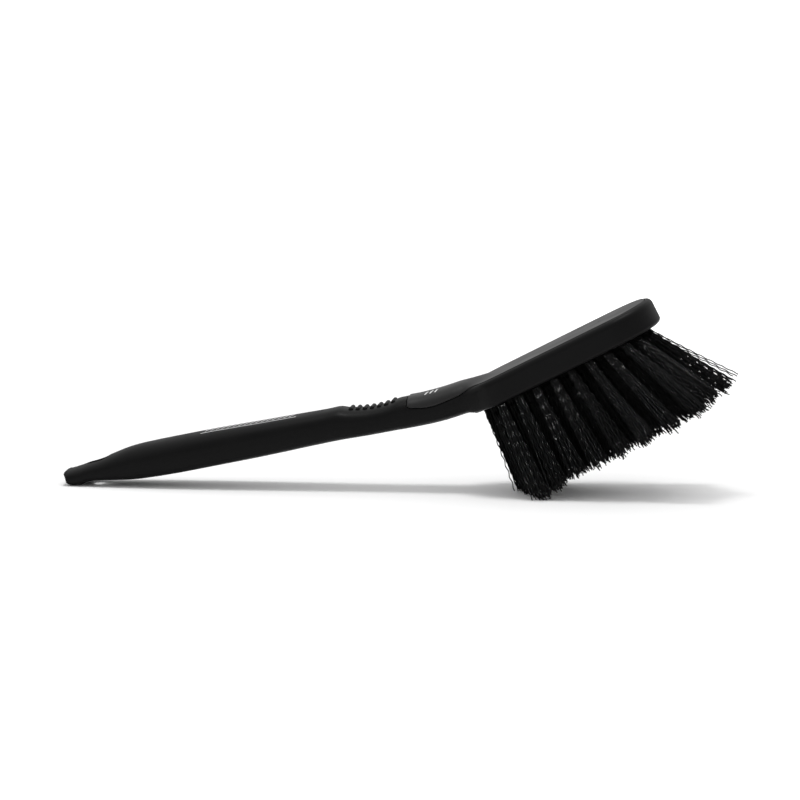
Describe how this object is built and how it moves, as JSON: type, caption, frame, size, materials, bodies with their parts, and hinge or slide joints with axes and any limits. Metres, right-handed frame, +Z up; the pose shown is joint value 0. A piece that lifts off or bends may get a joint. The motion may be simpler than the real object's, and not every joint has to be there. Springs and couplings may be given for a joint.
{
  "type": "wheel brush",
  "caption": "Short angled wheel brush: hard core with a drilled head block, soft overmoulded grip and head bumper, and rows of crimped bristle tufts.",
  "frame": {"origin": "middle of the small flat foot under the tail, on the surface that the brush lies on", "axes": "+X from the tail towards the head, +Z up with the brush lying on its foot and its rear bristle tips, +Y to its left"},
  "size_m": [0.3523, 0.0612, 0.1023],
  "materials": {
    "hard_plastic": "fine satin moulded texture",
    "soft_grip": "matte soft-touch overmould",
    "bristle": "glossy extruded crimped filament",
    "anchor_wire": "plain flat wire",
    "print_ink": "thin white pad-printed ink"
  },
  "bodies": {
    "root": {"hard_core": "hard_plastic", "soft_overmould": "soft_grip", "tuft_anchors": "anchor_wire", "tuft_1_1": "bristle", "tuft_1_2": "bristle", "tuft_1_3": "bristle", "tuft_1_4": "bristle", "tuft_1_5": "bristle", "tuft_1_6": "bristle", "tuft_1_7": "bristle", "tuft_1_8": "bristle", "tuft_2_1": "bristle", "tuft_2_2": "bristle", "tuft_2_3": "bristle", "tuft_2_4": "bristle", "tuft_2_5": "bristle", "tuft_2_6": "bristle", "tuft_2_7": "bristle", "tuft_2_8": "bristle", "tuft_2_9": "bristle", "tuft_3_1": "bristle", "tuft_3_2": "bristle", "tuft_3_3": "bristle", "tuft_3_4": "bristle", "tuft_3_5": "bristle", "tuft_3_6": "bristle", "tuft_3_7": "bristle", "tuft_3_8": "bristle", "tuft_3_9": "bristle", "tuft_3_10": "bristle", "tuft_4_1": "bristle", "tuft_4_2": "bristle", "tuft_4_3": "bristle", "tuft_4_4": "bristle", "tuft_4_5": "bristle", "tuft_4_6": "bristle", "tuft_4_7": "bristle", "tuft_4_8": "bristle", "tuft_4_9": "bristle", "tuft_5_1": "bristle", "tuft_5_2": "bristle", "tuft_5_3": "bristle", "tuft_5_4": "bristle", "tuft_5_5": "bristle", "tuft_5_6": "bristle", "tuft_5_7": "bristle", "tuft_5_8": "bristle"}
  },
  "joints": []
}
